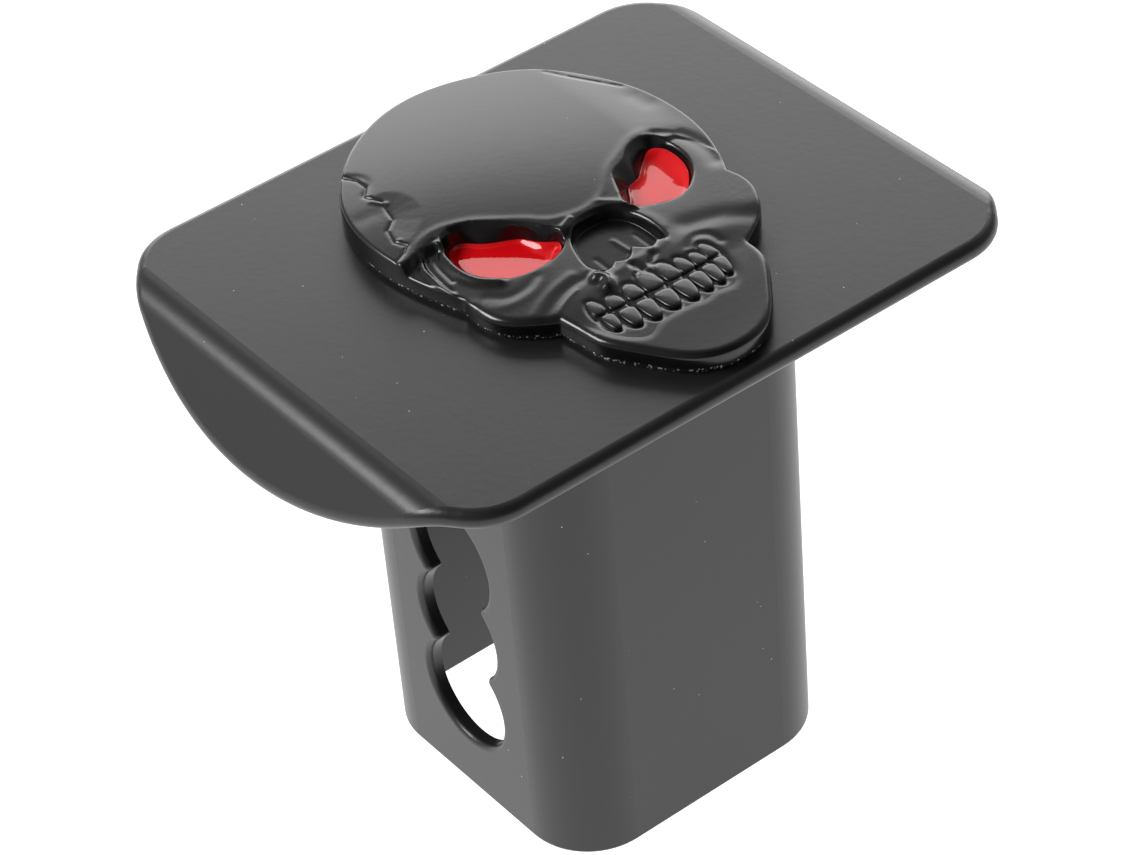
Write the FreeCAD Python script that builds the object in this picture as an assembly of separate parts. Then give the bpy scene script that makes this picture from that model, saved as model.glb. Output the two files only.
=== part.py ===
import FreeCAD, Part
import math
import os
from FreeCAD import Vector

# Hitch receiver cover: a folded plate with a skull badge, on a square tube that fits a 2 inch receiver.
# The tube stands on its open end. The origin is the middle of that end, +Z runs up the tube to the plate.
# X is the plate's long direction, between its folded ends. All sizes are in millimetres.

# Square tube
tube_width = 50.0
tube_corner = 10.8
tube_wall = 2.4
tube_length = 86.5
tube_end_round = 0.6

# Slot for the hitch pin: overlapping round holes in each of the two walls that face along X
pin_hole_radius = 8.8
pin_hole_pitch = 13.5
pin_hole_count = 3
lowest_hole_height = 18.8
slot_tip_round = 0.7
slot_edge_round = 0.9

# Folded plate, cut from a flat blank with arched ends
sheet = 3.0
plate_half_width = 40.5
blank_half_length = 59.7
end_arch_radius = 57.8
plate_corner_radius = 9.8
fold_start = 46.4
fold_inner_radius = 2.0
fold_angle = math.radians(53.0)

# Weld bead between the tube and the plate
weld_leg = 3.5
weld_bulge = 0.5

# Foam tape under the badge
tape_thickness = 0.9
tape_inset = 0.5

# Badge: heights are above its flat back, which lies on the tape
rim_height = 1.8
forehead_height = 4.4
face_height = 2.9
insert_thickness = 1.1
insert_clearance = 0.05
nose_floor = 1.2
mouth_floor = 1.9
tooth_sink = 0.35
outline_tolerance = 0.06
relief_step = 3.6

# Forms of the badge: two oval domes that fall to the rim, given by middle and half sizes, then how far the
# forehead and the face fall away from their middles, and the brow's steep front
domes = [(1.7, 10.0, 25.8, 27.3), (0.6, -9.0, 22.4, 29.0)]
dome_power = 5
forehead_middle = 1.5
forehead_half_width = 24.0
forehead_side_fall = 0.7
forehead_top_fall = 0.9
crown_start = 10.0
crown_length = 27.0
face_middle = 1.0
face_half_width = 20.0
face_side_fall = 0.5
brow_run = 3.6
brow_lead = 0.8

# Outline of the badge, seen from the front, in four curves that meet at the notches beside the cheekbones
cranium_curve = [(22.9, -7.7), (24.8, -4.0), (26.5, 0.8), (27.4, 6.5), (27.3, 12.0), (26.2, 17.8), (23.7, 23.4),
                 (20.3, 28.4), (15.8, 32.6), (10.0, 35.6), (2.8, 37.3), (-4.6, 36.4), (-11.2, 33.2),
                 (-17.0, 28.4), (-21.2, 22.8), (-23.4, 16.8), (-24.1, 10.6), (-23.6, 4.4), (-22.4, -1.0),
                 (-21.2, -5.2)]
left_cheek_curve = [(-21.2, -5.2), (-21.4, -8.6), (-20.6, -12.0), (-18.2, -15.0), (-14.8, -17.6)]
jaw_curve = [(-14.8, -17.6), (-14.3, -21.0), (-13.9, -24.6), (-12.4, -27.8), (-10.2, -31.2), (-7.8, -34.6),
             (-4.3, -37.2), (0.5, -38.0), (4.9, -36.9), (8.2, -34.2), (10.8, -31.0), (13.0, -28.0),
             (14.3, -24.9), (14.5, -21.8)]
right_cheek_curve = [(14.5, -21.8), (17.2, -20.2), (20.2, -17.9), (22.3, -14.8), (23.4, -11.2), (22.9, -7.7)]

# Eye sockets and nose, each one closed smooth curve
left_socket = [(-17.1, 0.5), (-16.6, 3.6), (-15.3, 5.8), (-13.6, 6.3), (-11.6, 4.5), (-8.6, 2.5), (-6.9, 1.4),
               (-6.1, -0.5), (-5.2, -2.2), (-3.8, -3.6), (-4.3, -5.0), (-5.8, -6.1), (-8.6, -6.8),
               (-11.6, -6.6), (-14.6, -5.3), (-16.5, -2.8)]
right_socket = [(7.7, -5.0), (9.1, -3.2), (10.7, -0.9), (11.7, 0.2), (13.4, 0.6), (14.9, 1.7), (16.9, 3.5),
                (18.6, 4.3), (19.9, 3.7), (20.5, 2.0), (20.3, -1.0), (19.0, -4.0), (16.9, -6.2),
                (13.9, -7.6), (10.9, -6.8)]
nose_curve = [(1.6, -3.8), (-0.5, -4.1), (-2.3, -5.4), (-3.7, -8.2), (-4.7, -11.6), (-4.6, -13.6), (-3.4, -14.3),
              (-2.1, -13.7), (-0.8, -14.1), (0.6, -13.8), (1.7, -12.8), (2.6, -13.8), (3.8, -14.3),
              (5.0, -13.9), (6.3, -13.2), (6.9, -10.4), (6.6, -7.2), (5.6, -5.1), (3.8, -4.0)]
mouth_curve = [(-14.4, -17.9), (-13.4, -22.0), (-12.4, -25.4), (-10.6, -28.4), (-8.8, -29.6), (-7.0, -28.9),
               (-5.0, -28.0), (-2.6, -27.8), (0.0, -28.1), (2.0, -28.6), (4.0, -28.3), (6.4, -28.8),
               (8.4, -27.4), (9.8, -24.4), (10.6, -20.6), (10.7, -18.2), (9.4, -17.2), (6.6, -18.4),
               (3.0, -17.6), (0.2, -17.9), (-3.0, -17.2), (-7.6, -18.2), (-11.0, -17.0)]

# Teeth, left to right: middle, width, gum end and biting end
upper_teeth = [(-11.2, 1.7, -18.0, -21.4), (-8.4, 2.3, -18.6, -21.9), (-5.0, 2.1, -19.2, -22.3),
               (-1.7, 2.6, -18.0, -22.5), (1.7, 2.3, -18.2, -22.2), (4.1, 2.2, -19.0, -22.2),
               (6.5, 2.0, -19.8, -22.1), (8.6, 1.6, -18.8, -21.9)]
lower_teeth = [(-10.7, 1.7, -25.4, -21.9), (-7.9, 2.4, -26.9, -22.5), (-5.2, 2.1, -27.4, -22.9),
               (-1.9, 2.6, -27.0, -23.2), (1.1, 2.3, -27.5, -23.0), (3.9, 2.2, -27.5, -23.0),
               (6.2, 2.0, -27.2, -22.8), (8.3, 1.7, -26.4, -22.4)]

# Ridges and hollows of the face: path, height above (or depth under) the surface round it, and half width
brow_path = [(-23.3, -1.0), (-21.6, 4.4), (-16.6, 7.6), (-12.0, 6.1), (-8.6, 3.5), (-4.6, -0.4), (0.4, -2.2),
             (4.6, -1.6), (7.8, 0.8), (11.4, 3.6), (15.6, 6.0), (19.6, 6.5), (22.9, 3.8), (24.2, -1.4)]
ridges = [(brow_path, 0.5, 2.1),
          ([(-18.6, -8.4), (-14.6, -11.0), (-10.0, -10.2), (-6.6, -8.4)], 0.5, 2.0),
          ([(21.4, -9.0), (17.4, -10.4), (12.4, -9.6), (8.8, -8.0)], 0.6, 2.1),
          ([(-7.0, -32.6), (0.6, -34.0), (7.6, -32.4)], 0.6, 3.4)]
hollows = [([(-18.0, -13.6), (-12.6, -14.6), (-8.6, -14.8)], 0.9, 2.0),
           ([(20.4, -15.6), (14.6, -15.2), (10.0, -14.4)], 0.9, 2.1),
           ([(-15.6, 18.0), (-17.4, 12.6)], 0.5, 2.6)]

plate_top = tube_length + sheet
badge_back = plate_top + tape_thickness
touch = 0.001


def save(shape, node):
    shape.exportStep("parts/" + node + ".step")


def spread(start, end, count):
    return [start + (end - start) * k / (count - 1) for k in range(count)]


def arc(points):
    return Part.Arc(*points).toShape()


def line(start, end):
    return Part.LineSegment(start, end).toShape()


def joined(edges):
    return Part.Wire(Part.__sortEdges__(edges))


# Tube

def round_square(width, corner, z):
    """Closed wire of a square with round corners, about the Z axis."""
    flat = width / 2 - corner
    edges = []
    ends = []
    for quarter in range(4):
        start = math.pi / 2 * quarter
        middle = start + math.pi / 4
        centre = Vector(math.copysign(flat, math.cos(middle)), math.copysign(flat, math.sin(middle)), z)
        points = []
        for angle in spread(start, start + math.pi / 2, 3):
            points.append(centre + Vector(corner * math.cos(angle), corner * math.sin(angle), 0))
        edges.append(arc(points))
        ends.append((points[0], points[2]))
    for quarter in range(4):
        edges.append(line(ends[quarter][1], ends[(quarter + 1) % 4][0]))
    return joined(edges)


def round_square_bar(width, corner, low, high):
    return Part.Face(round_square(width, corner, low)).extrude(Vector(0, 0, high - low))


def pin_slot():
    """The overlapping pin holes as one bar along X. The tips between them are rounded."""
    reach = pin_hole_radius + slot_tip_round
    tip_side = math.sqrt(reach ** 2 - (pin_hole_pitch / 2) ** 2)
    tip_angle = math.atan2(pin_hole_pitch / 2, tip_side)
    edges = []

    def slot_arc(y, z, radius, start, end):
        points = []
        for angle in spread(start, end, 3):
            points.append(Vector(-tube_width, y + radius * math.cos(angle), z + radius * math.sin(angle)))
        edges.append(arc(points))

    for hole in range(pin_hole_count):
        z = lowest_hole_height + pin_hole_pitch * hole
        low = -tip_angle if hole else -math.pi / 2
        high = tip_angle if hole < pin_hole_count - 1 else math.pi / 2
        slot_arc(0, z, pin_hole_radius, low, high)
        slot_arc(0, z, pin_hole_radius, math.pi - low, math.pi - high)
        if hole:
            between = z - pin_hole_pitch / 2
            slot_arc(tip_side, between, slot_tip_round, math.pi + tip_angle, math.pi - tip_angle)
            slot_arc(-tip_side, between, slot_tip_round, -tip_angle, tip_angle)
    return Part.Face(joined(edges)).extrude(Vector(2 * tube_width, 0, 0))


def shank_tube():
    tube = round_square_bar(tube_width, tube_corner, 0, tube_length)
    bore_width = tube_width - 2 * tube_wall
    bore = round_square_bar(bore_width, tube_corner - tube_wall, -tube_wall, tube_length + tube_wall)
    tube = tube.cut(bore).cut(pin_slot()).removeSplitter()
    slot_edges = []
    for edge in tube.Edges:
        box = edge.BoundBox
        in_side_face = box.XLength < touch and abs(abs(box.XMin) - tube_width / 2) < touch
        if in_side_face and edge.Curve.TypeId == "Part::GeomCircle":
            slot_edges.append(edge)
    tube = tube.makeFillet(slot_edge_round, slot_edges)
    end_edges = [edge for edge in tube.Edges if edge.BoundBox.ZMax < touch]
    return tube.makeFillet(tube_end_round, end_edges)


# Weld bead

def weld_bead():
    """Fillet weld all round the tube, against the underside of the plate."""
    side = tube_width / 2
    flat = side - tube_corner

    def bead_face(y):
        heel = Vector(side, y, tube_length)
        foot = Vector(side, y, tube_length - weld_leg)
        toe = Vector(side + weld_leg, y, tube_length)
        crown = (foot + toe) * 0.5 + Vector(weld_bulge, 0, -weld_bulge)
        return Part.Face(joined([line(heel, foot), arc([foot, crown, toe]), line(toe, heel)]))

    pieces = []
    for quarter in range(4):
        run = bead_face(-flat).extrude(Vector(0, 2 * flat, 0))
        turn = bead_face(flat).revolve(Vector(flat, flat, 0), Vector(0, 0, 1), 90)
        for piece in (run, turn):
            piece.rotate(Vector(0, 0, 0), Vector(0, 0, 1), 90 * quarter)
            pieces.append(piece)
    return pieces[0].multiFuse(pieces[1:]).removeSplitter()


# Plate

edge_radius = sheet / 2
middle_height = tube_length + edge_radius
fold_radius = fold_inner_radius + edge_radius
fold_end = fold_start + fold_radius * fold_angle
arch_centre = blank_half_length - end_arch_radius
corner_v = plate_half_width - plate_corner_radius
corner_u = arch_centre + math.sqrt((end_arch_radius - plate_corner_radius) ** 2 - corner_v ** 2)
blend_angle = math.atan2(corner_v, corner_u - arch_centre)
inset_corner = plate_corner_radius - edge_radius
inset_arch = end_arch_radius - edge_radius
corner_run = inset_corner * (math.pi / 2 - blend_angle)
arch_run = inset_arch * blend_angle


def inset_outline(run):
    """The blank's outline, set in by the radius of its rounded edge, at a run past the end of the long side.

    Returns the place along the blank, the place across it and the angle that the outline faces.
    """
    if run <= corner_run:
        angle = math.pi / 2 - run / inset_corner
        return corner_u + inset_corner * math.cos(angle), corner_v + inset_corner * math.sin(angle), angle
    angle = blend_angle - (run - corner_run) / inset_arch
    return arch_centre + inset_arch * math.cos(angle), inset_arch * math.sin(angle), angle


def run_to(place):
    """The run at which the outline reaches a place along the blank."""
    near = 0.0
    far = corner_run + arch_run
    for _ in range(60):
        middle = (near + far) / 2
        if inset_outline(middle)[0] < place:
            near = middle
        else:
            far = middle
    return (near + far) / 2


def rim_point(side_x, side_y, run, around):
    """Point of the plate's rounded edge, from the top face at 0 round to the underside at pi."""
    along, across, angle = inset_outline(run)
    turn = min(max(along - fold_start, 0) / fold_radius, fold_angle)
    flap = max(along - fold_end, 0)
    x = min(along, fold_start) + fold_radius * math.sin(turn) + flap * math.cos(turn)
    z = middle_height - fold_radius * (1 - math.cos(turn)) - flap * math.sin(turn)
    rise = edge_radius * math.cos(around)
    out = edge_radius * math.sin(around)
    x += out * math.cos(angle) * math.cos(turn) + rise * math.sin(turn)
    z += rise * math.cos(turn) - out * math.cos(angle) * math.sin(turn)
    return Vector(side_x * x, side_y * (across + out * math.sin(angle)), z)


def rim_patch(side_x, side_y, start, end):
    rows = []
    for run in spread(start, end, 9):
        rows.append([rim_point(side_x, side_y, run, around) for around in spread(0, math.pi, 13)])
    patch = Part.BSplineSurface()
    patch.interpolate(rows)
    return patch


def face_plate():
    """The folded sheet: rounded edge patches, and the flat and folded faces between their rails."""
    to_fold = run_to(fold_start)
    past_fold = run_to(fold_end)
    stops = sorted([0.0, corner_run, to_fold, past_fold, corner_run + arch_run])
    faces = []
    rails = {}
    for side_y in (1, -1):
        for side_x in (1, -1):
            for start, end in zip(stops, stops[1:]):
                patch = rim_patch(side_x, side_y, start, end)
                first_run, _, first_around, last_around = patch.bounds()
                faces.append(patch.toShape())
                rails[side_x, side_y, start] = (patch.vIso(first_around).toShape(),
                                                patch.vIso(last_around).toShape())
                if start == 0.0 and side_x < 0:
                    profile = patch.uIso(first_run).toShape()
                    faces.append(profile.extrude(Vector(2 * corner_u, 0, 0)))

    def across(side_x, run, around):
        return line(rim_point(side_x, 1, run, around), rim_point(side_x, -1, run, around))

    for level, around in ((0, 0.0), (1, math.pi)):
        middle = []
        for side_y in (1, -1):
            middle.append(line(rim_point(-1, side_y, 0.0, around), rim_point(1, side_y, 0.0, around)))
        for side_x in (1, -1):
            flap = [across(side_x, past_fold, around)]
            middle.append(across(side_x, to_fold, around))
            for start in stops[:-1]:
                pair = [rails[side_x, 1, start][level], rails[side_x, -1, start][level]]
                if start < to_fold:
                    middle += pair
                elif start < past_fold:
                    faces.append(Part.makeRuledSurface(*pair))
                else:
                    flap += pair
            faces.append(Part.Face(joined(flap)))
        faces.append(Part.Face(joined(middle)))
    shell = Part.makeShell(faces)
    shell.sewShape()
    plate = Part.makeSolid(shell.Shells[0])
    if plate.Volume < 0:
        plate.reverse()
    return plate


# Badge

badge_curves = (cranium_curve, left_cheek_curve, jaw_curve, right_cheek_curve)
badge_loop = [point for curve in badge_curves for point in curve[:-1]]


def smooth_edges(points, closed):
    """A smooth run of arcs through the points."""
    curve = Part.BSplineCurve()
    curve.interpolate([Vector(x, y, 0) for x, y in points], PeriodicFlag=closed)
    return [piece.toShape() for piece in curve.toBiArcs(outline_tolerance)]


def prism(wire, low, high):
    face = Part.Face(wire)
    face.translate(Vector(0, 0, low))
    return face.extrude(Vector(0, 0, high - low))


def set_in(loop, distance):
    """The loop's points, each moved inwards, square to the line between its neighbours."""
    area = sum(ax * by - bx * ay for (ax, ay), (bx, by) in zip(loop, loop[1:] + loop[:1]))
    step = math.copysign(distance, area)
    moved = []
    for (ax, ay), (x, y), (bx, by) in zip(loop[-1:] + loop[:-1], loop, loop[1:] + loop[:1]):
        length = math.hypot(bx - ax, by - ay)
        moved.append((x - step * (by - ay) / length, y + step * (bx - ax) / length))
    return moved


def badge_outline(inset):
    loop = set_in(badge_loop, inset)
    edges = []
    start = 0
    for curve in badge_curves:
        end = start + len(curve) - 1
        edges += smooth_edges((loop + loop[:1])[start:end + 1], False)
        start = end
    return Part.Wire(edges)


def socket_outline(loop, inset):
    return Part.Wire(smooth_edges(set_in(loop, inset), True))


def path_distance(x, y, path):
    best = None
    for (ax, ay), (bx, by) in zip(path, path[1:]):
        dx = bx - ax
        dy = by - ay
        share = ((x - ax) * dx + (y - ay) * dy) / (dx * dx + dy * dy)
        share = min(max(share, 0.0), 1.0)
        away = math.hypot(x - ax - share * dx, y - ay - share * dy)
        if best is None or away < best:
            best = away
    return best


def brow_height(x):
    """Place of the brow along Y at x: it divides the forehead from the face."""
    for (ax, ay), (bx, by) in zip(brow_path, brow_path[1:]):
        if x <= bx:
            return ay + (by - ay) * (max(x, ax) - ax) / (bx - ax)
    return brow_path[-1][1]


def relief(x, y):
    """Height of the badge's face above its back."""
    out = min(math.hypot((x - middle_x) / radius_x, (y - middle_y) / radius_y)
              for middle_x, middle_y, radius_x, radius_y in domes)
    rise = max(1 - out ** dome_power, -1)
    forehead = forehead_height - forehead_side_fall * ((x - forehead_middle) / forehead_half_width) ** 2
    forehead -= forehead_top_fall * (max(y - crown_start, 0) / crown_length) ** 2
    face = face_height - face_side_fall * ((x - face_middle) / face_half_width) ** 2
    above = min(max((y - brow_height(x)) / brow_run + brow_lead, 0.0), 1.0)
    form = face + (forehead - face) * above * above * (3 - 2 * above)
    for path, height, half_width in ridges:
        form += height * math.exp(-(path_distance(x, y, path) / half_width) ** 2)
    for path, depth, half_width in hollows:
        form -= depth * math.exp(-(path_distance(x, y, path) / half_width) ** 2)
    return rim_height + (form - rim_height) * rise


def tooth(middle, width, gum, bite):
    """A crown: a round bar lying half sunk in the mouth's floor, from its gum end to its biting end."""
    start = Vector(middle, min(gum, bite), badge_back + mouth_floor + tooth_sink)
    return Part.makeCylinder(width / 2, abs(gum - bite), start, Vector(0, 1, 0))


def relief_block(box):
    """Solid under the badge's face: a smooth surface through heights on a square grid, past the outline."""
    start_x = box.XMin - 2 * relief_step
    start_y = box.YMin - 2 * relief_step
    rows = math.ceil(box.YLength / relief_step) + 5
    columns = math.ceil(box.XLength / relief_step) + 5
    heights = []
    for column in range(columns):
        x = start_x + relief_step * column
        heights.append([relief(x, start_y + relief_step * row) for row in range(rows)])
    surface = Part.BSplineSurface()
    surface.interpolate(heights, start_x, relief_step, start_y, relief_step)
    block = surface.toShape().extrude(Vector(0, 0, -2 * forehead_height))
    block.translate(Vector(0, 0, badge_back))
    return block


def skull_emblem():
    outline = badge_outline(0.0)
    top = badge_back + 2 * forehead_height
    badge = relief_block(outline.BoundBox).common(prism(outline, badge_back, top))
    for loop, floor in ((left_socket, -rim_height), (right_socket, -rim_height), (nose_curve, nose_floor),
                        (mouth_curve, mouth_floor)):
        badge = badge.cut(prism(socket_outline(loop, 0), badge_back + floor, top))
    return badge.multiFuse([tooth(*sizes) for sizes in upper_teeth + lower_teeth])


def adhesive_pad():
    """Foam tape under the badge, cut a little smaller than it."""
    return prism(badge_outline(tape_inset), plate_top, badge_back)


def eye_insert(socket):
    """Red insert at the bottom of a socket, on the tape."""
    return prism(socket_outline(socket, insert_clearance), badge_back, badge_back + insert_thickness)


os.makedirs("parts", exist_ok=True)
save(shank_tube(), "shank_tube")
save(weld_bead(), "weld_bead")
save(face_plate(), "face_plate")
save(adhesive_pad(), "adhesive_pad")
save(skull_emblem(), "skull_emblem")
save(eye_insert(left_socket), "left_eye")
save(eye_insert(right_socket), "right_eye")
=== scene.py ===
import math

import bmesh
import bpy
import numpy as np
from mathutils import Matrix, Vector
from mathutils.geometry import delaunay_2d_cdt


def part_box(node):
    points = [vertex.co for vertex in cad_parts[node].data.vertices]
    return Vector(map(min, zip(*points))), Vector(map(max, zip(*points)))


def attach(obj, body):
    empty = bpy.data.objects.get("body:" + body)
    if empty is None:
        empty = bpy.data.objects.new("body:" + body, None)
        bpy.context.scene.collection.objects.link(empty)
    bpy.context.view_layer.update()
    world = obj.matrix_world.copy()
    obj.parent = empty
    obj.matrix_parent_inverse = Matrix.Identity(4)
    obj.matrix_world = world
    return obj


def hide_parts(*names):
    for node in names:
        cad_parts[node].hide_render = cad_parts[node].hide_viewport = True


# Hitch receiver cover in satin black powder coat, with a gloss black skull badge and red eyes.
# The badge is drawn in millimetres, with heights above its flat back, and set on the frame in metres.

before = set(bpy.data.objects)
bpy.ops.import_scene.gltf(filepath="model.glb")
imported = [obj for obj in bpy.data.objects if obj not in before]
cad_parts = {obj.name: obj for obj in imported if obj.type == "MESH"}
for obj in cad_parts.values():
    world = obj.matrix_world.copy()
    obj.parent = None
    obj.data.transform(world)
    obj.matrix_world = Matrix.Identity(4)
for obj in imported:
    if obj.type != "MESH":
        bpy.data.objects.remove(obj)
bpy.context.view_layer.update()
MM = 0.001
badge_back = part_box("skull_emblem")[0].z / MM

# Outline of the badge, seen from the front, in four curves that meet at the notches beside the cheekbones
cranium_curve = [(22.9, -7.7), (24.8, -4.0), (26.5, 0.8), (27.4, 6.5), (27.3, 12.0), (26.2, 17.8),
                 (23.7, 23.4), (20.3, 28.4), (15.8, 32.6), (10.0, 35.6), (2.8, 37.3), (-4.6, 36.4),
                 (-11.2, 33.2), (-17.0, 28.4), (-21.2, 22.8), (-23.4, 16.8), (-24.1, 10.6), (-23.6, 4.4),
                 (-22.4, -1.0), (-21.2, -5.2)]
left_cheek_curve = [(-21.2, -5.2), (-21.4, -8.6), (-20.6, -12.0), (-18.2, -15.0), (-14.8, -17.6)]
jaw_curve = [(-14.8, -17.6), (-14.3, -21.0), (-13.9, -24.6), (-12.4, -27.8), (-10.2, -31.2), (-7.8, -34.6),
             (-4.3, -37.2), (0.5, -38.0), (4.9, -36.9), (8.2, -34.2), (10.8, -31.0), (13.0, -28.0),
             (14.3, -24.9), (14.5, -21.8)]
right_cheek_curve = [(14.5, -21.8), (17.2, -20.2), (20.2, -17.9), (22.3, -14.8), (23.4, -11.2), (22.9, -7.7)]

# Eye sockets, nose and mouth, each one closed smooth curve
left_socket = [(-17.1, 0.5), (-16.6, 3.6), (-15.3, 5.8), (-13.6, 6.3), (-11.6, 4.5), (-8.6, 2.5), (-6.9, 1.4),
               (-6.1, -0.5), (-5.2, -2.2), (-3.8, -3.6), (-4.3, -5.0), (-5.8, -6.1), (-8.6, -6.8),
               (-11.6, -6.6), (-14.6, -5.3), (-16.5, -2.8)]
right_socket = [(7.7, -5.0), (9.1, -3.2), (10.7, -0.9), (11.7, 0.2), (13.4, 0.6), (14.9, 1.7), (16.9, 3.5),
                (18.6, 4.3), (19.9, 3.7), (20.5, 2.0), (20.3, -1.0), (19.0, -4.0), (16.9, -6.2),
                (13.9, -7.6), (10.9, -6.8)]
nose_curve = [(1.6, -3.8), (-0.5, -4.1), (-2.3, -5.4), (-3.7, -8.2), (-4.5, -11.2), (-4.2, -12.8),
              (-3.1, -13.5), (-2.0, -12.8), (-0.2, -13.5), (2.0, -11.6), (3.3, -13.0), (4.5, -13.5),
              (5.5, -12.5), (6.3, -13.3), (6.8, -11.8), (6.9, -9.8), (6.6, -7.2), (5.6, -5.1), (3.8, -4.0)]
mouth_curve = [(-14.0, -17.6), (-13.0, -21.4), (-11.9, -24.6), (-10.1, -27.4), (-8.3, -28.5), (-6.6, -27.9),
               (-4.8, -27.2), (-2.4, -27.1), (0.2, -27.3), (2.2, -27.7), (4.2, -27.4), (6.6, -27.8),
               (8.5, -26.5), (9.7, -23.8), (10.2, -20.6), (10.3, -18.2), (9.2, -17.2), (6.6, -18.4),
               (3.0, -17.6), (0.2, -17.9), (-3.0, -17.2), (-7.6, -18.2), (-11.0, -17.0)]

# Crests around the two sockets, where their walls end
left_brow = [(-17.7, 0.5), (-17.3, 4.2), (-16.4, 6.3), (-14.6, 7.1), (-13.0, 6.9), (-10.7, 5.6), (-8.3, 3.3),
             (-6.0, 0.7), (-4.6, -1.4), (-3.4, -3.5), (-4.0, -5.3), (-5.7, -6.5), (-8.6, -7.2), (-11.7, -7.0),
             (-14.8, -5.7), (-16.9, -3.0)]
right_brow = [(7.3, -5.0), (7.6, -3.0), (8.6, -0.8), (9.7, 1.2), (11.4, 2.3), (13.0, 3.1), (14.6, 4.4),
              (16.6, 5.4), (18.4, 5.7), (20.0, 5.2), (20.9, 3.6), (21.1, 1.6), (20.8, -1.4), (19.4, -4.5),
              (17.1, -6.7), (13.9, -8.0), (10.8, -7.2), (8.6, -6.0)]

# Teeth, left to right: gum end and biting end of the middle line, each as a place, and the width
upper_teeth = [((-9.9, -17.6), (-10.1, -21.0), 2.0), ((-7.2, -18.4), (-7.4, -21.4), 2.5),
               ((-4.0, -18.2), (-4.3, -21.6), 2.6), ((-1.0, -17.4), (-1.2, -21.8), 3.0),
               ((2.1, -17.6), (2.1, -21.8), 2.6), ((4.6, -18.3), (4.5, -21.8), 2.2),
               ((6.8, -18.8), (6.8, -21.8), 2.1), ((9.0, -18.2), (8.9, -21.6), 1.9)]
lower_teeth = [((-10.3, -24.9), (-9.9, -21.3), 1.9), ((-7.8, -26.0), (-7.2, -21.9), 2.5),
               ((-5.0, -26.6), (-4.4, -22.1), 2.5), ((-1.7, -26.5), (-1.3, -22.2), 2.8),
               ((1.3, -26.8), (1.8, -22.2), 2.6), ((4.0, -26.6), (4.4, -22.2), 2.3),
               ((6.2, -26.6), (6.7, -22.1), 2.1), ((8.1, -25.8), (8.9, -21.9), 1.9)]

# Heights of the relief are above the badge's back. A smooth change, such as cheek_to_jaw or mouth_rows, is
# a pair: where it starts and where it ends.

# Forehead: a shallow dome with its own radius towards each side of its middle, and a fall at its right side
forehead_height = 4.15
forehead_middle = (0.5, 12.0)
forehead_radius = {"left": 400.0, "right": 450.0, "back": 260.0, "front": 310.0}
right_fall = 0.5
right_fall_columns = (17.0, 26.0)

# Temple: a crack, the lower plate left of it, and a dent that gets deeper from its upper edge to the crack
temple_crack = [(-17.6, 28.5), (-16.4, 25.4), (-16.4, 23.2), (-18.0, 21.5), (-17.0, 18.7), (-17.9, 16.4),
                (-18.4, 14.4), (-20.4, 12.9), (-21.2, 10.2), (-20.4, 8.3), (-21.9, 7.1), (-24.9, 5.9)]
crack_depth = 0.1
crack_half_width = 0.25
temple_plate = temple_crack + [(-28.0, 5.0), (-28.0, 30.0)]
temple_drop = 0.2
temple_run = 0.4
dent_edge = [(-17.3, 20.6), (-15.4, 20.2), (-14.0, 18.4), (-13.6, 16.0), (-14.0, 13.6), (-15.4, 11.4),
             (-17.8, 9.6), (-20.6, 8.6)]
dent_beside_crack = temple_crack[4:9]
temple_dent = dent_edge + dent_beside_crack[::-1]
dent_slope = 0.05
dent_run = 0.3

# Face: lower from the cheeks to the jaw and the chin, and towards its left side
cheek_height = 2.9
jaw_height = 2.55
chin_height = 2.3
cheek_to_jaw = (-15.5, -22.5)
jaw_to_chin = (-20.0, -38.0)
left_fall = 0.8
left_fall_width = 21.0
left_fall_rows = (-28.0, -16.0)

# Where the forehead ends and the face starts, from left to right, and the width of the change
brow_edge = [(-26.0, 4.6), (-22.0, 5.2), (-20.0, 5.8), (-17.6, 5.8), (-16.2, 3.4), (-13.6, 3.6), (-11.6, 2.4),
             (-8.6, 0.6), (-6.9, -0.6), (-6.0, -2.2), (-5.2, -3.4), (-3.8, -4.2), (1.5, -4.6), (4.0, -4.6),
             (6.5, -5.2), (7.9, -6.0), (9.4, -4.8), (10.9, -3.0), (13.4, -1.4), (16.9, 1.4), (18.6, 2.4),
             (20.3, 3.6), (22.6, 3.2), (23.8, 1.2), (24.6, -2.0), (25.4, -7.0)]
brow_run = 1.2

# Floors of the sockets, the nose and the mouth, and the widths of the walls around them
eye_height = 1.1
nose_floor = 1.3
nose_middle = -9.0
nose_slope = 0.05
nose_wall = 0.6
mouth_depth = 0.06
mouth_rows = (-17.5, -23.5)
mouth_wall = 0.9
least_wall = 0.01
wall_bend = 0.25

# Rounded edge of the badge, wider along the face than around the cranium
cranium_edge = 0.5
face_edge = 1.0
face_edge_rows = (-6.0, -8.0)
face_edge_columns = (16.0, 12.0)

# Groove around each tooth: its gap to the crown, and its shoulders as shares of the tooth's length and width
groove_depth = 0.16
groove_half_width = 0.32
groove_gap = 0.2
shoulder_place = 0.3
shoulder_width = 0.85

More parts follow.
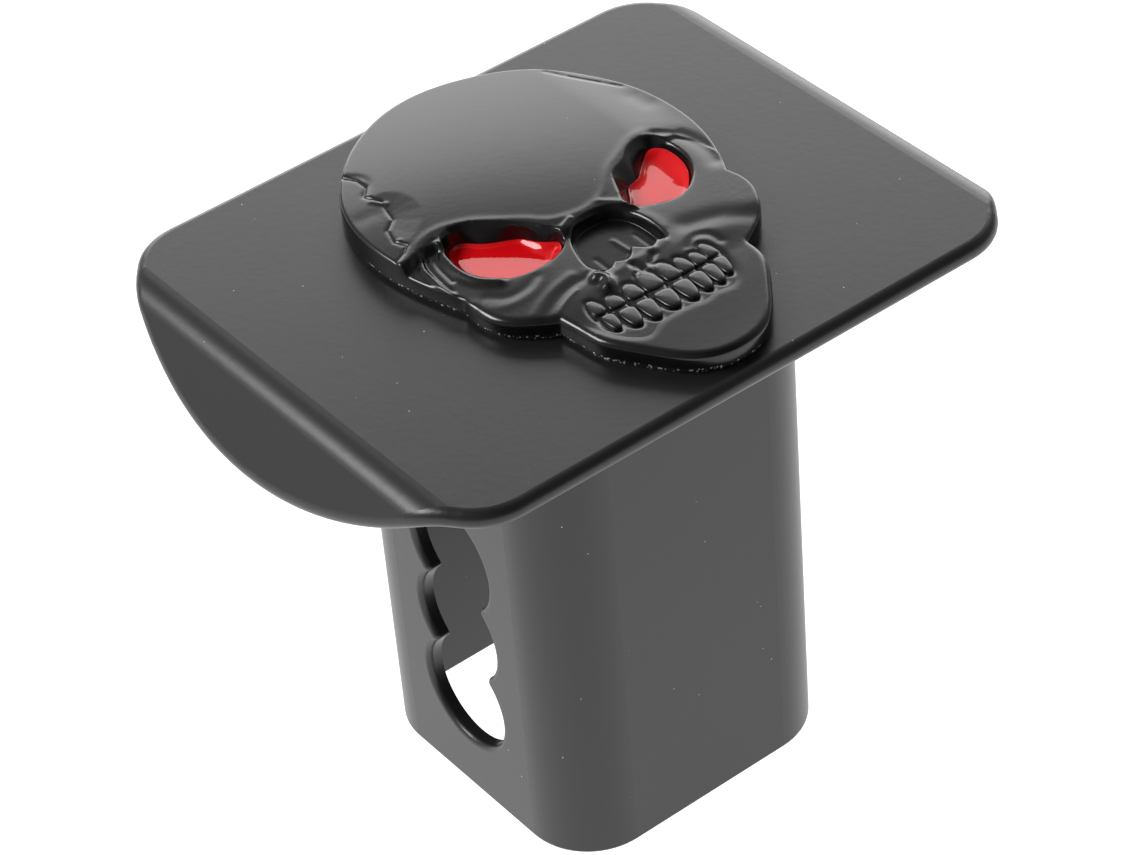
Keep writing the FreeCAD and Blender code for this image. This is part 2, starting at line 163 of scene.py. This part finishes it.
# Ridges and hollows: path, height (below zero for a hollow) and half width
forms = [
    # Brow
    ([(-22.6, 4.8), (-20.2, 6.9), (-18.6, 7.7), (-15.8, 8.1), (-13.6, 7.5), (-10.7, 5.9), (-7.9, 3.5),
      (-5.0, 0.9), (-3.4, -0.8), (-1.0, -1.9), (1.6, -2.4), (4.2, -2.0), (6.2, -1.0), (8.2, 0.8),
      (10.4, 2.8), (12.8, 4.2), (15.4, 5.6), (18.0, 6.6), (20.6, 6.4), (23.2, 4.4)], 0.06, 0.7),
    # Left temple: hollow beside the crack, two chips and the hollow on the lower plate
    ([(-16.9, 27.2), (-15.8, 25.6), (-15.8, 23.8), (-17.6, 21.8)], -0.07, 0.6),
    ([(-17.9, 19.9), (-17.0, 17.9)], 0.12, 0.4),
    ([(-20.6, 9.9), (-20.5, 9.8)], 0.1, 0.3),
    ([(-21.5, 17.6), (-19.6, 17.4)], -0.04, 1.4),
    # Right temple: hollow and groove near the rim
    ([(24.6, 14.8), (25.0, 12.0)], -0.12, 1.6),
    ([(19.2, 28.4), (20.6, 25.4), (22.8, 21.6), (25.0, 18.0)], -0.12, 0.3),
    # Left eye: outer rim, folds, inner rim, the bag under it and the fold beside the nose
    ([(-20.4, 5.4), (-21.2, 4.0), (-21.5, 1.6), (-21.8, -1.0), (-21.8, -3.4)], 0.35, 0.5),
    ([(-17.2, 6.6), (-19.2, 5.9), (-20.4, 3.8), (-21.0, 0.8), (-21.3, -2.6)], -0.18, 0.35),
    ([(-15.3, 5.2), (-16.5, 5.9), (-18.3, 5.6), (-19.8, 4.0), (-20.6, 1.5), (-20.9, -1.4)], 0.06, 0.3),
    ([(-16.0, 4.8), (-17.4, 5.0), (-18.8, 4.0), (-19.5, 1.6), (-19.8, -1.0)], -0.15, 0.35),
    ([(-17.4, 4.6), (-18.1, 2.0), (-18.2, -0.8), (-17.4, -3.6), (-15.6, -5.8)], 0.5, 0.8),
    ([(-20.6, -6.8), (-20.1, -9.0), (-18.3, -10.4), (-15.2, -10.9), (-12.4, -10.3), (-10.6, -9.0),
      (-9.4, -7.8)], 0.04, 0.8),
    ([(-18.6, -7.2), (-16.8, -9.0), (-13.8, -9.2), (-11.4, -8.4)], -0.07, 0.9),
    ([(-4.4, -4.6), (-2.8, -3.4), (-0.8, -2.6)], 0.15, 0.35),
    # Right eye: orbit groove and the fold beside the nose
    ([(20.6, 5.4), (23.0, 3.6), (24.0, 0.4), (23.8, -3.0), (23.2, -5.0)], -0.22, 1.3),
    ([(7.0, -4.6), (5.6, -3.2), (4.6, -2.4)], 0.1, 0.5),
    # Left cheek: bone, the hollow under it, its lower edge and the boss beside the nose
    ([(-16.4, -14.6), (-13.0, -12.8), (-8.0, -11.6)], 0.06, 0.8),
    ([(-15.6, -16.0), (-12.6, -14.4), (-8.6, -13.4), (-6.4, -13.6)], -0.09, 0.8),
    ([(-13.8, -16.6), (-11.8, -15.5), (-9.4, -14.7)], 0.05, 0.3),
    ([(-5.8, -14.4), (-5.2, -15.4), (-5.9, -17.0)], 0.75, 0.8),
    # Right cheek: hollow, and the groove at the corner of the mouth
    ([(10.6, -13.8), (15.0, -15.4), (18.6, -18.0)], -0.15, 1.8),
    ([(7.6, -17.6), (9.6, -16.4), (11.2, -17.2), (11.7, -19.4)], -0.12, 0.7),
    # Nose: rim at its right, the lip under it and two grooves between the lip and the front teeth
    ([(7.6, -7.4), (8.1, -9.6), (7.9, -11.6)], 0.05, 0.8),
    ([(-5.4, -12.6), (-5.2, -14.4), (-3.4, -15.2), (0.0, -14.9), (3.4, -15.1), (5.8, -14.6)], 0.06, 0.8),
    ([(-0.4, -15.6), (-0.1, -17.0)], -0.35, 0.55),
    ([(3.0, -15.6), (1.6, -16.9)], -0.35, 0.55)]

# Ridge between two slots, on the nose's floor
nose_forms = [
    ([(-2.1, -9.7), (-2.1, -12.8)], -0.07, 0.35),
    ([(2.1, -8.1), (2.4, -11.0)], 0.08, 0.35),
    ([(5.3, -9.0), (5.4, -12.8)], -0.07, 0.35)]

# Crowns of the teeth. The powers shape them: 1 is round, and less is squarer.
tooth_back = 2.25
tooth_height = 0.55
tooth_taper = 0.2
front_power = 0.24
rise_power = 0.8
bite_power = 0.5
gum_power = 0.8
side_power = 0.7
tooth_turns = 24
tooth_rows = 9

# Red inserts: their climb at the socket's wall, higher and wider within some columns of each right end
glass_climb = 0.3
glass_reach = 0.45
corner_climb = 0.9
corner_reach = 1.35
corner_columns = (-3.5, -1.5)

# Slope of the left insert, which gets lower towards the back right
left_eye_lean = 0.018
lean_azimuth = math.radians(35)

# Spacing of the points on curves and of the badge's mesh, which is finer at edges, walls and the crack
loop_step = 0.4
form_step = 0.5
grid_step = 0.3
edge_insets = (0.03, 0.08, 0.17, 0.3, 0.46, 0.66, 0.9, 1.2)
wall_offsets = (0.03, 0.08, 0.16, 0.28, 0.45, 0.7, 1.0)
floor_inset = 0.08
crack_step = 0.2
crack_offsets = (-0.36, -0.24, -0.12, 0.0, 0.12, 0.24, 0.36)
glass_step = 0.6
glass_insets = (0.06, 0.13, 0.22, 0.33, 0.46, 0.62, 0.82, 1.1)

# Small distances: of loose points from a rim, slack in a moved loop, points that merge, guard for divisions
rim_gap = 0.02
ring_slack = 0.03
merge_distance = 1e-5
tooth_merge_distance = 1e-4
tiny = 1e-12


# Curves

def spline(points, closed, step):
    """Points about a step apart on a smooth curve through the given ones."""
    knots = np.array(points + points[:1] if closed else points, float)
    gaps = np.linalg.norm(np.diff(knots, axis=0), axis=1)
    count = len(gaps)
    slopes = np.diff(knots, axis=0) / gaps[:, None]
    size = count if closed else count + 1
    system = np.zeros((size, size))
    wanted = np.zeros((size, 2))
    for k in range(size):
        if closed or 0 < k < count:
            before = (k - 1) % count
            system[k, (k - 1) % size] += gaps[before]
            system[k, k] += 2 * (gaps[before] + gaps[k % count])
            system[k, (k + 1) % size] += gaps[k % count]
            wanted[k] = 6 * (slopes[k % count] - slopes[before])
        else:
            system[k, k] = 1
    bends = np.linalg.solve(system, wanted)
    curve = []
    for k in range(count):
        first, last = bends[k], bends[(k + 1) % size]
        pieces = max(int(round(gaps[k] / step)), 1)
        for place in np.arange(pieces) / pieces:
            t = place * gaps[k]
            rest = gaps[k] - t
            curve.append((first * rest ** 3 + last * t ** 3) / (6 * gaps[k])
                         + (knots[k] / gaps[k] - first * gaps[k] / 6) * rest
                         + (knots[k + 1] / gaps[k] - last * gaps[k] / 6) * t)
    if not closed:
        curve.append(knots[-1])
    return np.array(curve)


def distance(points, path, closed=False):
    """Distance from each point to the nearest place on the path."""
    path = np.asarray(path, float)
    ends = np.vstack([path[1:], path[:1]]) if closed else path[1:]
    starts = path if closed else path[:-1]
    best = np.full(len(points), np.inf)
    for a, b in zip(starts, ends):
        run = b - a
        share = np.clip((points - a) @ run / (run @ run + tiny), 0, 1)
        away = points - a - share[:, None] * run
        best = np.minimum(best, np.hypot(away[:, 0], away[:, 1]))
    return best


def within(points, loop):
    """True for each point inside the closed loop."""
    x, y = points.T
    result = np.zeros(len(points), bool)
    for (ax, ay), (bx, by) in zip(loop, np.vstack([loop[1:], loop[:1]])):
        crosses = (ay > y) != (by > y)
        if crosses.any():
            result ^= crosses & (x < ax + (y - ay) * (bx - ax) / (by - ay + tiny))
    return result


def outside(points, loop):
    """Signed distance: positive outside the loop."""
    away = distance(points, loop, True)
    return np.where(within(points, loop), -away, away)


def ring(loop, offset):
    """The loop moved outwards by the offset, without the points that would cross over."""
    ahead = np.roll(loop, -1, axis=0) - np.roll(loop, 1, axis=0)
    area = np.sum(loop[:, 0] * np.roll(loop[:, 1], -1) - loop[:, 1] * np.roll(loop[:, 0], -1))
    normal = np.stack([ahead[:, 1], -ahead[:, 0]], 1) * math.copysign(1, area)
    normal /= np.linalg.norm(normal, axis=1)[:, None]
    moved = loop + normal * offset
    return moved[np.abs(outside(moved, loop) - offset) < ring_slack * (1 + abs(offset))]


outline = np.vstack([spline(curve, False, loop_step)[:-1] for curve in
                     (cranium_curve, left_cheek_curve, jaw_curve, right_cheek_curve)])
left_loop = spline(left_socket, True, loop_step)
right_loop = spline(right_socket, True, loop_step)
nose_loop = spline(nose_curve, True, loop_step)
mouth_loop = spline(mouth_curve, True, loop_step)
left_crest = spline(left_brow, True, loop_step)
right_crest = spline(right_brow, True, loop_step)


# Relief

def ramp(value, start, end):
    """0 up to the start and 1 past the end, with a smooth change between them."""
    share = np.clip((value - start) / (end - start), 0, 1)
    return share * share * (3 - 2 * share)


def region(points, loop, run):
    """1 inside the loop and 0 outside it, with a smooth change along its edge."""
    return ramp(outside(points, np.array(loop)), run / 2, -run / 2)


def walled(form, points, loop, floor, run):
    """The form with a floor inside the loop and a wall, run wide, that bends over to the form outside it."""
    away = outside(points, loop)
    share = np.clip(away / run, 0, 1)
    rise = share * (1 + wall_bend * (1 - share))
    return np.where(away < 0, floor, floor + (form - floor) * rise)


def wall_run(points, loop, crest):
    """Width of the wall between a socket and the crest around it, at each point."""
    return np.maximum(outside(points, loop), 0) + np.maximum(-outside(points, crest), 0) + least_wall


def raised(points, listed):
    """Sum of the listed ridges and hollows at each point."""
    total = np.zeros(len(points))
    for path, height, half_width in listed:
        total += height * np.exp(-(distance(points, spline(path, False, form_step)) / half_width) ** 2)
    return total


def gum_path(gum, bite, width):
    """Path of the groove around a tooth, from its bite around the gum end and back."""
    side = width / 2 + groove_gap
    end = gum[1] + math.copysign(groove_gap, gum[1] - bite[1])
    shoulder = gum[1] * (1 - shoulder_place) + bite[1] * shoulder_place
    return [(bite[0] - side, bite[1]), (gum[0] - side * shoulder_width, shoulder), (gum[0], end),
            (gum[0] + side * shoulder_width, shoulder), (bite[0] + side, bite[1])]


def forehead_form(points):
    """Dome above the brow, with the crack, the lower plate and the dent at its left temple."""
    right = points[:, 0] - forehead_middle[0]
    back = points[:, 1] - forehead_middle[1]
    form = forehead_height - right_fall * ramp(right, *right_fall_columns)
    form -= right ** 2 / (2 * np.where(right > 0, forehead_radius["right"], forehead_radius["left"]))
    form -= back ** 2 / (2 * np.where(back > 0, forehead_radius["back"], forehead_radius["front"]))
    form -= temple_drop * region(points, temple_plate, temple_run)
    form -= crack_depth * np.exp(-(distance(points, temple_crack) / crack_half_width) ** 2)
    form -= dent_slope * distance(points, dent_edge) * region(points, temple_dent, dent_run)
    return form


def face_form(points):
    """Cheeks, jaw and chin, without their ridges and hollows."""
    x, y = points.T
    form = cheek_height + (jaw_height - cheek_height) * ramp(y, *cheek_to_jaw)
    form += (chin_height - jaw_height) * ramp(y, *jaw_to_chin)
    form -= left_fall * (np.minimum(x, 0) / left_fall_width) ** 2 * ramp(y, *left_fall_rows)
    return form


def edge_fall(points):
    """How far the badge's rounded edge lies below the form."""
    x, y = points.T
    inset = np.maximum(-outside(points, outline), 0)
    edge = cranium_edge + (face_edge - cranium_edge) * ramp(y, *face_edge_rows) * ramp(x, *face_edge_columns)
    near = np.clip(edge - inset, 0, edge)
    return edge - np.sqrt(edge ** 2 - near ** 2)


def relief(points):
    """Height of the badge's face above its back."""
    x, y = points.T
    brow = np.array(brow_edge)
    above_brow = y - np.interp(x, brow[:, 0], brow[:, 1])
    face = face_form(points)
    form = face + (forehead_form(points) - face) * ramp(above_brow, -brow_run / 2, brow_run / 2)
    form += raised(points, forms)
    for loop, crest in ((left_loop, left_crest), (right_loop, right_crest)):
        form = walled(form, points, loop, eye_height, wall_run(points, loop, crest))
    floor = nose_floor + nose_slope * (y - nose_middle) + raised(points, nose_forms)
    form = walled(form, points, nose_loop, floor, nose_wall)
    form = walled(form, points, mouth_loop, form - mouth_depth * ramp(y, *mouth_rows), mouth_wall)
    form += raised(points, [(gum_path(*crown), -groove_depth, groove_half_width)
                            for crown in upper_teeth + lower_teeth])
    return form - edge_fall(points)


# Meshes

def placed(name, data):
    """Object with the data, in the scene."""
    piece = bpy.data.objects.new(name, data)
    bpy.context.scene.collection.objects.link(piece)
    return piece


def smooth_piece(name, mesh):
    """Object with the mesh's faces turned outwards and shaded smooth."""
    bmesh.ops.recalc_face_normals(mesh, faces=mesh.faces)
    data = bpy.data.meshes.new(name)
    mesh.to_mesh(data)
    mesh.free()
    for polygon in data.polygons:
        polygon.use_smooth = True
    return placed(name, data)


def flat_triangles(loops, loose):
    """Triangles on the points of the loops and the loose ones, inside the first loop but outside the rest."""
    edges = []
    start = 0
    for loop in loops:
        count = len(loop)
        edges += [(start + k, start + (k + 1) % count) for k in range(count)]
        start += count
    points = [Vector(point) for point in np.vstack([*loops, loose])]
    made = delaunay_2d_cdt(points, edges, [], 0, merge_distance)
    corners = np.array([tuple(vertex) for vertex in made[0]])
    faces = np.array([face for face in made[2] if len(face) == 3])
    middles = corners[faces].mean(axis=1)
    keep = within(middles, loops[0])
    for hole in loops[1:]:
        keep &= ~within(middles, hole)
    return corners, faces[keep]


def lifted(name, corners, faces, heights, base):
    """Piece with the triangles as its face and walls from its edges straight down to the base, in metres."""
    mesh = bmesh.new()
    verts = {}
    for k in np.unique(faces):
        verts[k] = mesh.verts.new(Vector((*corners[k], badge_back + heights[k])) * MM)
    for face in faces:
        a, b, c = (verts[k] for k in face)
        if (b.co - a.co).cross(c.co - a.co).z < 0:
            b, c = c, b
        mesh.faces.new((a, b, c))
    rim = [edge for edge in mesh.edges if edge.is_boundary]
    for item in bmesh.ops.extrude_edge_only(mesh, edges=rim)["geom"]:
        if isinstance(item, bmesh.types.BMVert):
            item.co.z = base
    return smooth_piece(name, mesh)


# Badge

def grid_points():
    """Points of an even triangular grid over the badge, clear of the rings and the crack's rows."""
    low = outline.min(axis=0)
    high = outline.max(axis=0)
    xs = np.arange(low[0], high[0], grid_step)
    ys = np.arange(low[1], high[1], grid_step * math.sqrt(3) / 2)
    grid = np.array([(x + (row % 2) * grid_step / 2, y) for row, y in enumerate(ys) for x in xs])
    gap = grid_step / 2
    clear = outside(grid, outline) < -edge_insets[-1] - gap
    for loop in (left_loop, right_loop):
        clear &= outside(grid, loop) > wall_offsets[-1] + gap
    for loop in (nose_loop, mouth_loop):
        away = outside(grid, loop)
        clear &= (away > wall_offsets[-1] + gap) | (away < -gap)
    clear &= distance(grid, temple_crack) > crack_offsets[-1] + gap
    return grid[clear]


def crack_points():
    """Rows of points across the temple crack, all along it."""
    rows = []
    for start, end in zip(temple_crack, temple_crack[1:]):
        run = np.subtract(end, start)
        length = np.linalg.norm(run)
        across = np.array([-run[1], run[0]]) / length
        for share in np.arange(0, 1, crack_step / length):
            rows.append(np.array([start + run * share + across * offset for offset in crack_offsets]))
    return np.vstack(rows)


def skull():
    """Relief of the badge, open at the two sockets."""
    points = [nose_loop, mouth_loop]
    points += [ring(outline, -inset) for inset in edge_insets]
    for loop in (left_loop, right_loop, nose_loop, mouth_loop):
        points += [ring(loop, offset) for offset in wall_offsets]
    points += [ring(loop, -floor_inset) for loop in (nose_loop, mouth_loop)]
    points = np.vstack([*points, grid_points(), crack_points()])
    keep = outside(points, outline) < -rim_gap
    for loop in (left_loop, right_loop):
        keep &= outside(points, loop) > rim_gap
    corners, faces = flat_triangles([outline, left_loop, right_loop], points[keep])
    return lifted("skull_relief", corners, faces, relief(corners), badge_back * MM)


def glass(name, node, loop, lean):
    """Red insert: flat in the middle, and climbing a little at the socket's wall."""
    low = loop.min(axis=0)
    high = loop.max(axis=0)
    grid = np.array([(x, y) for x in np.arange(low[0], high[0], glass_step)
                     for y in np.arange(low[1], high[1], glass_step)])
    grid = grid[outside(grid, loop) < -glass_insets[-1] - glass_step / 2]
    rings = [ring(loop, -inset) for inset in glass_insets]
    corners, faces = flat_triangles([loop], np.vstack([*rings, grid]))
    inset = np.maximum(-outside(corners, loop), 0)
    corner = ramp(corners[:, 0] - high[0], *corner_columns)
    climb = glass_climb + (corner_climb - glass_climb) * corner
    reach = glass_reach + (corner_reach - glass_reach) * corner
    fall = lean * ((corners - low) @ (math.sin(lean_azimuth), math.cos(lean_azimuth)))
    heights = eye_height + climb * np.exp(-(inset / reach) ** 2) - fall
    return lifted(name, corners, faces, heights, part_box(node)[0].z)


def add_tooth(mesh, gum, bite, width):
    """Adds a crown: flat in front, square at the bite and narrower and rounder at the gum."""
    along = Vector((bite[0] - gum[0], bite[1] - gum[1], 0))
    half_length = along.length / 2
    along.normalize()
    across = Vector((along.y, -along.x, 0))
    middle = Vector(((gum[0] + bite[0]) / 2, (gum[1] + bite[1]) / 2, badge_back + tooth_back))
    rows = []
    for row in range(tooth_rows):
        lift = math.pi / 2 * row / (tooth_rows - 1)
        shrink = math.cos(lift) ** front_power
        rise = math.sin(lift) ** rise_power * tooth_height
        verts = []
        for turn in range(tooth_turns):
            around = 2 * math.pi * turn / tooth_turns
            up, side = math.cos(around), math.sin(around)
            v = math.copysign(abs(up) ** (bite_power if up > 0 else gum_power), up)
            u = math.copysign(abs(side) ** side_power, side) * (1 + tooth_taper * v)
            place = middle + along * v * half_length * shrink + across * u * width / 2 * shrink
            verts.append(mesh.verts.new((place + Vector((0, 0, rise))) * MM))
        rows.append(verts)
    for lower, upper in zip(rows, rows[1:]):
        for turn in range(tooth_turns):
            after = (turn + 1) % tooth_turns
            mesh.faces.new((lower[turn], lower[after], upper[after], upper[turn]))


def teeth():
    """All crowns as one piece, with their tops joined and their backs closed."""
    mesh = bmesh.new()
    for crown in upper_teeth + lower_teeth:
        add_tooth(mesh, *crown)
    bmesh.ops.remove_doubles(mesh, verts=mesh.verts, dist=tooth_merge_distance * MM)
    bmesh.ops.holes_fill(mesh, edges=mesh.edges)
    return smooth_piece("teeth", mesh)


# Materials

speck_fade = 1.3
skin_depth = 0.0001


def coat(name, colour, roughness, specular=0.5):
    """Plain material."""
    material = bpy.data.materials.new(name)
    material.use_nodes = True
    shader = material.node_tree.nodes["Principled BSDF"]
    shader.inputs["Base Color"].default_value = (*colour, 1)
    shader.inputs["Roughness"].default_value = roughness
    shader.inputs["Specular IOR Level"].default_value = specular
    return material


def texture(material, kind, scale):
    """Texture of the kind, laid out in the object's own frame."""
    nodes = material.node_tree.nodes
    place = nodes.new("ShaderNodeTexCoord")
    made = nodes.new(kind)
    made.inputs["Scale"].default_value = scale
    material.node_tree.links.new(place.outputs["Object"], made.inputs["Vector"])
    return made


def specks(material, scale, size, colour):
    """Adds scattered small light specks; the size is a share of the cell that each one lies in."""
    links = material.node_tree.links
    base = material.node_tree.nodes["Principled BSDF"].inputs["Base Color"]
    cells = texture(material, "ShaderNodeTexVoronoi", scale)
    colours = material.node_tree.nodes.new("ShaderNodeValToRGB")
    speck, rest = colours.color_ramp.elements
    speck.position = size
    speck.color = (*colour, 1)
    rest.position = size * speck_fade
    rest.color = base.default_value
    links.new(cells.outputs["Distance"], colours.inputs["Fac"])
    links.new(colours.outputs["Color"], base)


def skin(material, scale, strength):
    """Adds a fine bumpy skin."""
    links = material.node_tree.links
    grain = texture(material, "ShaderNodeTexNoise", scale)
    bump = material.node_tree.nodes.new("ShaderNodeBump")
    bump.inputs["Strength"].default_value = strength
    bump.inputs["Distance"].default_value = skin_depth
    links.new(grain.outputs["Fac"], bump.inputs["Height"])
    links.new(bump.outputs["Normal"], material.node_tree.nodes["Principled BSDF"].inputs["Normal"])


black_coat = coat("black_coat", colour=(0.012, 0.012, 0.0125), roughness=0.36)
specks(black_coat, scale=260, size=0.02, colour=(0.6, 0.6, 0.58))
skin(black_coat, scale=900, strength=0.15)

badge_black = coat("badge_black", colour=(0.005, 0.005, 0.005), roughness=0.22)
specks(badge_black, scale=200, size=0.01, colour=(0.4, 0.4, 0.4))
skin(badge_black, scale=1200, strength=0.08)

eye_red = coat("eye_red", colour=(0.78, 0.004, 0.008), roughness=0.04, specular=0.34)
skin(eye_red, scale=800, strength=0.02)

foam_tape = coat("foam_tape", colour=(0.02, 0.02, 0.02), roughness=0.7)
specks(foam_tape, scale=2200, size=0.28, colour=(0.9, 0.9, 0.9))
skin(foam_tape, scale=1500, strength=0.8)


def dress(piece, material):
    """Gives the piece the material in place of any other."""
    piece.data.materials.clear()
    piece.data.materials.append(material)


# Pieces

for node, material in (("shank_tube", black_coat), ("weld_bead", black_coat), ("face_plate", black_coat),
                       ("adhesive_pad", foam_tape)):
    dress(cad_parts[node], material)

skull_piece = skull()
teeth_piece = teeth()
for piece in (skull_piece, teeth_piece):
    dress(piece, badge_black)
    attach(piece, "root")
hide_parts("skull_emblem")
for node, loop, lean in (("left_eye", left_loop, left_eye_lean), ("right_eye", right_loop, 0.0)):
    insert = glass(node + "_glass", node, loop, lean)
    dress(insert, eye_red)
    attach(insert, "root")
    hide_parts(node)


# Floor: pale, and glowing a little

floor_size = 6.0
floor_glow = 1.3
floor_mesh = bpy.data.meshes.new("floor")
floor_mesh.from_pydata([(-floor_size, -floor_size, 0), (floor_size, -floor_size, 0),
                        (floor_size, floor_size, 0), (-floor_size, floor_size, 0)], [], [(0, 1, 2, 3)])
floor = placed("floor", floor_mesh)
pale_floor = coat("pale_floor", colour=(0.2, 0.2, 0.2), roughness=0.9, specular=0.0)
floor_shader = pale_floor.node_tree.nodes["Principled BSDF"]
floor_shader.inputs["Emission Color"].default_value = (1, 1, 1, 1)
floor_shader.inputs["Emission Strength"].default_value = floor_glow
dress(floor, pale_floor)


# Light

def direction(azimuth, elevation):
    """Unit vector; azimuth is clockwise from +Y, seen from above, in degrees."""
    turn = math.radians(azimuth)
    lift = math.radians(elevation)
    return Vector((math.cos(lift) * math.sin(turn), math.cos(lift) * math.cos(turn), math.sin(lift)))


# Sky: brightest low behind the right side, dim on the photographer's side
light_from = (35, 5)
light_peak = 0.3
light_reach = -0.4
light_falloff = 6.0
left_side = (285, 10)
left_glow = 0.25
dim_side = (215, 35)
dim_edges = (0.1, 0.7)
sky_fill = 0.28
dim_fill = 0.05

world = bpy.data.worlds.new("studio")
bpy.context.scene.world = world
world.use_nodes = True
sky_nodes = world.node_tree.nodes
sky_links = world.node_tree.links
sky_nodes["Background"].inputs["Color"].default_value = (1, 1, 1, 1)
sky_place = sky_nodes.new("ShaderNodeTexCoord")


def sky_range(towards, low, high, bottom, top, kind):
    """Value from bottom to top as the sky's direction turns towards the given one."""
    along = sky_nodes.new("ShaderNodeVectorMath")
    along.operation = "DOT_PRODUCT"
    along.inputs[1].default_value = direction(*towards)
    sky_links.new(sky_place.outputs["Generated"], along.inputs[0])
    span = sky_nodes.new("ShaderNodeMapRange")
    span.interpolation_type = kind
    span.inputs["From Min"].default_value = low
    span.inputs["From Max"].default_value = high
    span.inputs["To Min"].default_value = bottom
    span.inputs["To Max"].default_value = top
    sky_links.new(along.outputs["Value"], span.inputs["Value"])
    return span.outputs["Result"]


def sky_math(operation, first, second):
    """Result of the operation on a value of the sky and a number or another value."""
    step = sky_nodes.new("ShaderNodeMath")
    step.operation = operation
    sky_links.new(first, step.inputs[0])
    if isinstance(second, float):
        step.inputs[1].default_value = second
    else:
        sky_links.new(second, step.inputs[1])
    return step.outputs["Value"]


glow = sky_math("POWER", sky_range(light_from, light_reach, 1, 0, 1, "LINEAR"), light_falloff)
glow = sky_math("MULTIPLY", glow, light_peak)
fill = sky_range(dim_side, *dim_edges, sky_fill, dim_fill, "SMOOTHSTEP")
side = sky_range(left_side, 0, 1, 0, left_glow, "LINEAR")
total = sky_math("ADD", sky_math("ADD", glow, side), fill)
sky_links.new(total, sky_nodes["Background"].inputs["Strength"])


def area_light(name, place, back, size, brightness):
    """Rectangular light, whose back points along the given direction."""
    light = bpy.data.lights.new(name, "AREA")
    light.shape = "RECTANGLE"
    light.size = size[0]
    light.size_y = size[1]
    light.energy = brightness * math.pi * size[0] * size[1]
    lamp = placed(name, light)
    lamp.location = place
    lamp.rotation_euler = back.to_track_quat("Z", "Y").to_euler()


# Upright panel behind the object, standing on the floor
panel_back = direction(38, 0)
panel_distance = 1.2
panel_size = (1.25, 0.975)
panel_brightness = 3.0
panel_place = panel_back * panel_distance + Vector((0, 0, panel_size[1] / 2))
area_light("back_panel", panel_place, panel_back, panel_size, panel_brightness)

# Small softbox on the left, facing the object
left_box_back = direction(305, 44)
left_box_distance = 1.3
left_box_size = (0.6, 0.4)
left_box_brightness = 16.0
area_light("left_box", left_box_back * left_box_distance, left_box_back, left_box_size, left_box_brightness)


# Camera, at the photographer's place

camera_place = Vector((-0.243911, -0.340375, 0.399131))
camera_right = Vector((0.77946855, -0.62270148, -0.06834944))
camera_down = Vector((-0.43815563, -0.46395496, -0.76991262))
camera_forward = Vector((0.44771466, 0.63007036, -0.63447846))
camera_data = bpy.data.cameras.new("camera")
camera_data.sensor_width = 36
camera_data.lens = 119.69
camera = placed("camera", camera_data)
camera.matrix_world = (Matrix.Translation(camera_place)
                       @ Matrix([camera_right, -camera_down, -camera_forward]).transposed().to_4x4())
bpy.context.scene.camera = camera
bpy.context.scene.view_settings.view_transform = "Standard"
